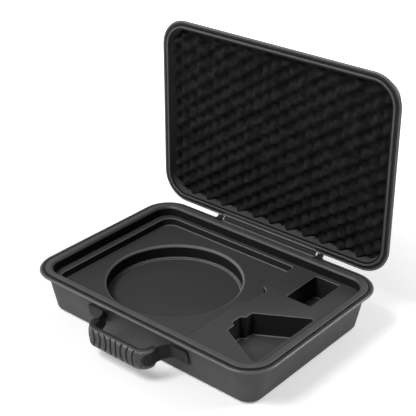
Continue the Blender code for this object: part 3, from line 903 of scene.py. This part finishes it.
def make_tray():
    offset = BASE_T + FIT
    body = BASE.side(offset, DECK_Z - 1.2 * MM)
    body.append((BASE.wall(DECK_Z, offset) + 0.8 * MM, DECK_Z))
    tray = finish("fitted_tray", loft(body, base_place), TRAY, "base", smooth=50)
    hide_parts("tray_floor_pad", "tray_lower_layer", "tray_upper_layer")

    lip_end = LIP_IN + BASE_LIP_W
    back = RIM_D / 2 - lip_end - LAND
    left = -RIM_W / 2 + lip_end + LAND_SIDE
    step = RIM_W / 2 - lip_end - BAY_W
    recess_z = DECK_Z - RECESS_DEPTH
    cutters = [
        tray_cutter("recess_space", recess_outline(left, step, back), recess_z, RECESS_EDGE_R, RECESS_FOOT_R),
        round_cutter(left, recess_z),
        tray_cutter("box_space", box_outline(step, back), POCKET_FLOOR, POCKET_EDGE_R, POCKET_FOOT_R),
        tray_cutter("slope_space", slope_outline(step, back), POCKET_FLOOR, POCKET_EDGE_R, POCKET_FOOT_R),
    ]
    for cutter in cutters:
        cut = tray.modifiers.new(cutter.name, "BOOLEAN")
        cut.operation, cut.solver, cut.object = "DIFFERENCE", "EXACT", cutter
    graph = bpy.context.evaluated_depsgraph_get()
    mesh = bpy.data.meshes.new_from_object(tray.evaluated_get(graph))
    tray.modifiers.clear()
    tray.data = mesh
    tray.data.materials.clear()
    tray.data.materials.append(TRAY)
    mesh.shade_smooth()
    mesh.set_sharp_from_angle(angle=math.radians(40))
    for cutter in cutters:
        bpy.data.objects.remove(cutter, do_unlink=True)


# Lid foam ---------------------------------------------------------------------------


def make_foam():
    """Convoluted foam: staggered bumps on a slab that fills the lid."""
    face_drop = 2.6 * MM
    valley = 12 * MM
    edge_fall = 5 * MM
    bump_x, bump_y = 16 * MM, 11.5 * MM
    edge = LID.wall(LID_H - face_drop, LID_T + FIT) + 0.2 * MM
    half_x, half_y = RIM_W / 2 - edge, RIM_D / 2 - edge
    radius = RIM_R - edge
    across, up = 236, 168
    bm = bmesh.new()
    rows = []
    back = LID_T + FIT

    def half_width(y):
        over = abs(y) - (half_y - radius)
        if over <= 0:
            return half_x
        return half_x - radius + math.sqrt(max(radius**2 - over**2, 0))

    def depth(x, y, rim):
        one = math.cos(math.pi * (x / bump_x + y / bump_y))
        two = math.cos(math.pi * (x / bump_x - y / bump_y))
        height = (one + two) / 4 + 0.5
        height = height**1.4
        wander = 0.5 * math.sin(x * 61 + 1.3) * math.sin(y * 83 + 0.4)
        rounding = min(rim / edge_fall, 1)
        fall = edge_fall * (1 - math.sqrt(max(1 - (1 - rounding) ** 2, 0)))
        return LID_H - face_drop - (1 - height) * valley + wander * MM - fall

    for j in range(up + 1):
        # Rows crowd together towards the edges, where the outline bends.
        t = 2 * j / up - 1
        y = half_y * math.sin(t * math.pi / 2) * 0.35 + half_y * t * 0.65
        width = half_width(y)
        row = []
        for i in range(across + 1):
            x = width * (2 * i / across - 1)
            rim = min(width - abs(x), half_y - abs(y))
            row.append(bm.verts.new(lid_place(x, y, depth(x, y, rim))))
        rows.append(row)
    for low, high in zip(rows, rows[1:]):
        for i in range(across):
            bm.faces.new((low[i], low[i + 1], high[i + 1], high[i]))
    border = rows[0][:-1] + [row[-1] for row in rows[:-1]]
    border += rows[-1][:0:-1] + [row[0] for row in rows[:0:-1]]
    mid_z = LID_Z + RIM_D / 2
    foot = []
    for vert in border:
        # The foot is drawn in a little, to clear the lid's rounded edge.
        x, _, z = vert.co
        foot.append(bm.verts.new((x * 0.985, LID_Y + LID_H - back, mid_z + (z - mid_z) * 0.98)))
    count = len(border)
    for i in range(count):
        j = (i + 1) % count
        bm.faces.new((border[i], border[j], foot[j], foot[i]))
    bm.faces.new(foot)
    foam = finish("egg_crate_lining", bm, FOAM, "lid", smooth=80)
    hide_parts("lid_foam")


# Hinge --------------------------------------------------------------------------------


def make_hinge():
    """One flexible web from the back of the base to the outside of the lid's rim."""
    base_y = (BASE_LEAF_LOW[1] + FIT) + 0.35 * MM
    lid_y = (LEAF_LOW[1] + LEAF_HIGH[1]) / 2
    half_t = 0.6 * MM
    end_round = 1.5 * MM
    low, high = BASE_LEAF_LOW[2], LEAF_HIGH[2]
    line = []
    steps = 28
    for i in range(steps + 1):
        z = low + (high - low) * i / steps
        t = min(max((z - (HINGE_Z - 3.4 * MM)) / (4.6 * MM), 0), 1)
        line.append((base_y + (lid_y - base_y) * t * t * (3 - 2 * t), z))
    bm = bmesh.new()
    half_l = BASE_LEAF_HIGH[0]
    columns = 60
    rings = []
    for c in range(columns + 1):
        x = half_l * (2 * c / columns - 1)
        # The ends thin out.
        squeeze = 1 - 0.35 * max(0, (abs(x) - (half_l - end_round)) / end_round) ** 2
        front, rear = [], []
        for y, z in line:
            front.append(bm.verts.new((x, y - half_t * squeeze, z)))
            rear.append(bm.verts.new((x, y + half_t * squeeze, z)))
        rings.append(front + rear[::-1])
    skin(bm, rings)
    web = finish("hinge_web", bm, WEB, None, smooth=50)
    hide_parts("base_hinge_leaf", "lid_hinge_leaf")
    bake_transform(web)


# Handle -------------------------------------------------------------------------------


def grip_path():
    """(x, y, outward x, outward y, distance from the middle, half length) along the grip's middle line."""
    steps = 260
    painted_edge_highlight = 15 * MM
    half = (GRIP_HIGH[0] - GRIP_LOW[0]) / 2 - GRIP_T / 2
    middle = GRIP_OUT + GRIP_T / 2
    run = 5 * MM
    lengths = (half - painted_edge_highlight, math.radians(90) * painted_edge_highlight, run)
    total = sum(lengths)
    points = []
    for i in range(steps + 1):
        s = total * (2 * i / steps - 1)
        a, sign = abs(s), 1 if s >= 0 else -1
        if a <= lengths[0]:
            x, y, nx, ny = a, middle, 0, -1
        elif a <= lengths[0] + lengths[1]:
            turn = (a - lengths[0]) / painted_edge_highlight
            x = lengths[0] + painted_edge_highlight * math.sin(turn)
            y = middle + painted_edge_highlight * (1 - math.cos(turn))
            nx, ny = math.sin(turn), -math.cos(turn)
        else:
            rest = a - lengths[0] - lengths[1]
            x, y, nx, ny = half, middle + painted_edge_highlight + rest, 1, 0
        points.append((GRIP_X + sign * x, y, sign * nx, ny, s, total))
    return points


def make_grip():
    around = 56
    bm = bmesh.new()
    wear_and_highlight = bm.verts.layers.float.new("wear_and_highlight")
    painted_groove_shade = bm.verts.layers.float.new("painted_groove_shade")
    grooves = [(-38, 1), (-27, 1), (-16, 1), (-5, 0), (5, 0), (16, -1), (27, -1), (38, -1)]
    rings = []
    for x, y, nx, ny, s, total in grip_path():
        ring = []
        close = min((total - abs(s)) / (7 * MM), 1)
        plump = math.sqrt(max(1 - (1 - close) ** 2, 0)) * 0.35 + 0.65
        for i in range(around):
            turn = 2 * math.pi * i / around
            c, sn = math.cos(turn), math.sin(turn)
            # A rounded oblong section: thin across, tall up.
            power = 0.42
            out = math.copysign(abs(c) ** power, c) * GRIP_T / 2 * plump
            tall = math.copysign(abs(sn) ** power, sn) * GRIP_H / 2 * (0.82 + 0.18 * plump)
            dent = 0.0
            for centre, lean in grooves:
                bow = lean * 5.0 * MM * (1 - (2 * tall / GRIP_H) ** 2) - lean * 2.5 * MM
                d = abs(s - centre * MM - bow)
                dent = max(dent, 1 - min(d / (1.7 * MM), 1) ** 2)
            reach = max(0, 1 - max(0, abs(tall) / (GRIP_H / 2) - 0.78) / 0.16)
            dent *= reach
            face = max(c, 0) ** 0.5
            depth = 2.0 * MM * dent * face
            edge = max(0, 1 - abs(abs(c) - 0.75) / 0.25) * abs(sn) ** 0.4
            vert = bm.verts.new((x + nx * (out - depth), y + ny * (out - depth), GRIP_Z + tall))
            # Paler on the bent edges and the outer face, partly wear and partly painted highlight, but not in
            # the grooves.
            vert[wear_and_highlight] = min(1.0, 1.1 * edge + 0.3 * face) * (1 - dent)
            # Painted shade in the grooves.
            vert[painted_groove_shade] = min(1.0, 1.4 * dent)
            ring.append(vert)
        rings.append(ring)
    skin(bm, rings)
    grip = finish("grooved_grip", bm, GRIP, "handle", smooth=70)
    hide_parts("handle_grip")


def make_tongues():
    """The webbing's rounded end is let into the outer side of each end of the grip."""
    path = grip_path()
    half_path = path[-1][5]
    length, half_h = 19 * MM, 9.5 * MM
    columns, rows = 26, 10
    for word, sign in (("left", -1), ("right", 1)):
        bm = bmesh.new()
        rings = []
        for i in range(columns + 1):
            t = i / columns
            s = sign * (half_path - 0.5 * MM - length * t)
            x, y, nx, ny, _, _ = min(path, key=lambda p: abs(p[4] - s))
            round_off = max(0.0, (t - 0.55) / 0.45)
            height = half_h * math.sqrt(max(1 - round_off**2, 0.02))
            ring = []
            for layer, order in ((0.7 * MM, range(rows + 1)), (-0.6 * MM, range(rows, -1, -1))):
                for r in order:
                    v = 2 * r / rows - 1
                    lift = layer - (0.35 * MM if abs(v) > 0.95 else 0)
                    out = GRIP_T / 2 + lift
                    ring.append(bm.verts.new((x + nx * out, y + ny * out, GRIP_Z + v * height)))
            rings.append(ring)
        skin(bm, rings)
        finish(f"strap_tongue_{word}", bm, STRAP, "handle", smooth=60)


def wall_y(z):
    return -(RIM_D / 2 - BASE.wall(z))


def make_straps():
    low, high = STRAP_LOW[2], STRAP_HIGH[2]
    mid_z = (low + high) / 2
    half_t = 1.25 * MM
    root_y = wall_y(mid_z) - FIT - half_t - 0.3 * MM
    end_y = GRIP_OUT + GRIP_T / 2 + 13 * MM
    far = PAD_HIGH[0] - GRIP_X
    bend_x = 68 * MM  # where the webbing leaves the wall
    bend_r = 7 * MM
    near = 54 * MM
    for word, sign in (("left", -1), ("right", 1)):
        path = []
        for i in range(17):
            path.append((far - (far - bend_x) * i / 16, root_y))
        for a in range(1, 13):
            turn = math.radians(82 * a / 12)
            path.append((bend_x - bend_r * math.sin(turn), root_y - bend_r * (1 - math.cos(turn)) * 0.9))
        x1, y1 = path[-1]
        for i in range(1, 15):
            t = i / 14
            ease = t * t * (3 - 2 * t)
            path.append((x1 + (near - x1) * (1 - (1 - t) ** 2), y1 + (end_y - y1) * (0.35 * ease + 0.65 * t)))
        bm = bmesh.new()
        rings = []
        rows = 12
        for i, (x, y) in enumerate(path):
            before, after = path[max(i - 1, 0)], path[min(i + 1, len(path) - 1)]
            dx, dy = after[0] - before[0], after[1] - before[1]
            length = math.hypot(dx, dy)
            nx, ny = -dy / length, dx / length
            if ny > 0:
                nx, ny = -nx, -ny
            share = min(max((root_y - y) / (root_y - end_y), 0), 1)
            slope = math.tan(DRAFT) * (1 - share)
            ring = []
            taper = 0.0
            if i < 4:
                taper = 2.0 * MM * (1 - math.sqrt(1 - (1 - i / 4) ** 2))
            for face, order in ((1, range(rows + 1)), (-1, range(rows, -1, -1))):
                for r in order:
                    z = low + taper + (high - low - 2 * taper) * r / rows
                    reach = face * half_t * (0.45 if r in (0, rows) else 1)
                    ring.append((nx * reach, ny * reach, z))
            rings.append(
                [
                    bm.verts.new((GRIP_X + sign * (x + ox), y + oy - slope * (z - mid_z), z))
                    for ox, oy, z in ring
                ]
            )
        skin(bm, rings)
        strap = finish(f"webbing_{word}", bm, STRAP, None, smooth=50)
        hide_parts(f"handle_pad_{word}", f"handle_strap_{word}")
        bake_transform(strap)
        make_pad_stitches(word, sign, bend_x + 3 * MM, far, mid_z, half_t, root_y, low, high)


def make_pad_stitches(word, sign, near, far, mid_z, half_t, root_y, low, high):
    """A boxed cross of stitches holds each webbing end to the wall."""
    bm = bmesh.new()
    inset = 2.6 * MM
    x0, x1 = near, far - inset
    z0, z1 = low + inset, high - inset
    corners = [(x0, z0), (x1, z0), (x1, z1), (x0, z1)]
    runs = list(zip(corners, corners[1:] + corners[:1]))
    runs += [(corners[0], corners[2]), (corners[1], corners[3])]

    def place(x, z):
        y = root_y - math.tan(DRAFT) * (z - mid_z) - half_t - 0.05 * MM
        return (GRIP_X + sign * x, y, z)

    for (xa, za), (xb, zb) in runs:
        length = math.hypot(xb - xa, zb - za)
        count = max(2, round(length / (2.9 * MM)))
        for i in range(count):
            a, b = (i + 0.14) / count, (i + 0.86) / count
            capsule(
                bm,
                place(xa + (xb - xa) * a, za + (zb - za) * a),
                place(xa + (xb - xa) * b, za + (zb - za) * b),
                0.26 * MM,
                (0, -1, 0),
                sides=5,
            )
    finish(f"pad_stitches_{word}", bm, THREAD, "base", 60)


# Stage ---------------------------------------------------------------------------------


def make_floor():
    bm = bmesh.new()
    size, level = 6.0, -0.6 * MM
    corners = ((-1, -1), (1, -1), (1, 1), (-1, 1))
    bm.faces.new([bm.verts.new((sx * size, sy * size, level)) for sx, sy in corners])
    mat = bpy.data.materials.new("pale_floor")
    mat.use_nodes = True
    nodes, links = mat.node_tree.nodes, mat.node_tree.links
    shader = nodes["Principled BSDF"]
    shader.inputs["Base Color"].default_value = (0.8, 0.8, 0.8, 1)
    shader.inputs["Roughness"].default_value = 0.9
    shader.inputs["Specular IOR Level"].default_value = 0.1
    glow = nodes.new("ShaderNodeEmission")
    rays = nodes.new("ShaderNodeLightPath")
    both = nodes.new("ShaderNodeMixShader")
    add = nodes.new("ShaderNodeAddShader")
    # The floor glows less near the case, a painted shade round it, and fades to plain white away from the
    # case.
    spot = nodes.new("ShaderNodeTexCoord")
    reach = nodes.new("ShaderNodeVectorMath")
    reach.operation = "LENGTH"
    shade_near_case = nodes.new("ShaderNodeMapRange")
    shade_near_case.inputs["From Min"].default_value = 0.3
    shade_near_case.inputs["From Max"].default_value = 1.1
    shade_near_case.inputs["To Min"].default_value = 0.30
    shade_near_case.inputs["To Max"].default_value = 1.0
    links.new(spot.outputs["Object"], reach.inputs[0])
    links.new(reach.outputs["Value"], shade_near_case.inputs["Value"])
    links.new(shade_near_case.outputs["Result"], glow.inputs["Strength"])
    links.new(shader.outputs[0], add.inputs[0])
    links.new(glow.outputs[0], add.inputs[1])
    links.new(rays.outputs["Is Camera Ray"], both.inputs[0])
    links.new(shader.outputs[0], both.inputs[1])
    links.new(add.outputs[0], both.inputs[2])
    links.new(both.outputs[0], nodes["Material Output"].inputs["Surface"])
    floor = finish("floor", bm, mat, None, smooth=0)


def make_world():
    world = bpy.data.worlds.new("studio")
    bpy.context.scene.world = world
    world.use_nodes = True
    nodes, links = world.node_tree.nodes, world.node_tree.links
    ambient = nodes["Background"]
    ambient.inputs["Color"].default_value = (1, 1, 1, 1)
    white = nodes.new("ShaderNodeBackground")
    white.inputs["Color"].default_value = (1, 1, 1, 1)
    rays = nodes.new("ShaderNodeLightPath")
    # The studio is dim towards the front right, which leaves that corner of the case in shade.
    place = nodes.new("ShaderNodeTexCoord")
    toward = nodes.new("ShaderNodeVectorMath")
    toward.operation = "DOT_PRODUCT"
    toward.inputs[1].default_value = (0.70, -0.70, 0.1)
    fall = nodes.new("ShaderNodeMapRange")
    fall.inputs["From Min"].default_value = -0.1
    fall.inputs["From Max"].default_value = 0.75
    fall.inputs["To Min"].default_value = 0.36
    fall.inputs["To Max"].default_value = 0.04
    links.new(place.outputs["Generated"], toward.inputs[0])
    links.new(toward.outputs["Value"], fall.inputs["Value"])
    links.new(fall.outputs["Result"], ambient.inputs["Strength"])
    mix = nodes.new("ShaderNodeMixShader")
    links.new(rays.outputs["Is Camera Ray"], mix.inputs[0])
    links.new(ambient.outputs[0], mix.inputs[1])
    links.new(white.outputs[0], mix.inputs[2])
    links.new(mix.outputs[0], nodes["World Output"].inputs["Surface"])


def area_light(name, place, target, size, power):
    data = bpy.data.lights.new(name, "AREA")
    data.shape = "RECTANGLE"
    data.size, data.size_y = size
    data.energy = power
    lamp = bpy.data.objects.new(name, data)
    lamp.location = place
    direction = [t - p for t, p in zip(target, place)]
    flat = math.hypot(direction[0], direction[1])
    lamp.rotation_euler = (
        math.atan2(flat, -direction[2]),
        0,
        math.atan2(direction[1], direction[0]) - math.pi / 2,
    )
    bpy.context.scene.collection.objects.link(lamp)


def make_lights():
    area_light("key_right", (1.35, 1.4, 1.45), (0, 0, 0.1), (1.0, 1.0), 36)
    area_light("top", (-0.35, -1.2, 1.8), (0, 0.05, 0.1), (0.9, 0.8), 34)
    area_light("front_left", (-1.5, -1.5, 0.7), (0, 0, 0.1), (0.9, 1.0), 10)


def make_camera():
    azimuth, elevation = math.radians(40.33), math.radians(27.48)
    data = bpy.data.cameras.new("camera")
    data.sensor_width = 36
    data.lens = 92.95
    data.clip_end = 20
    camera = bpy.data.objects.new("camera", data)
    camera.location = (0.878, -1.0257, 0.882)
    camera.rotation_euler = (math.radians(90) - elevation, 0, azimuth)
    bpy.context.scene.collection.objects.link(camera)
    bpy.context.scene.camera = camera


make_camera()
make_floor()
make_world()
make_lights()
make_shells()
make_welts()
make_lips()
make_zip("base", base_place, BASE_H, TAPE)
make_zip("lid", lid_place, LID_H, LID_TAPE)
dress_metal()
make_tray()
make_foam()
make_hinge()
make_grip()
make_tongues()
make_straps()

bpy.context.scene.view_settings.view_transform = "Standard"
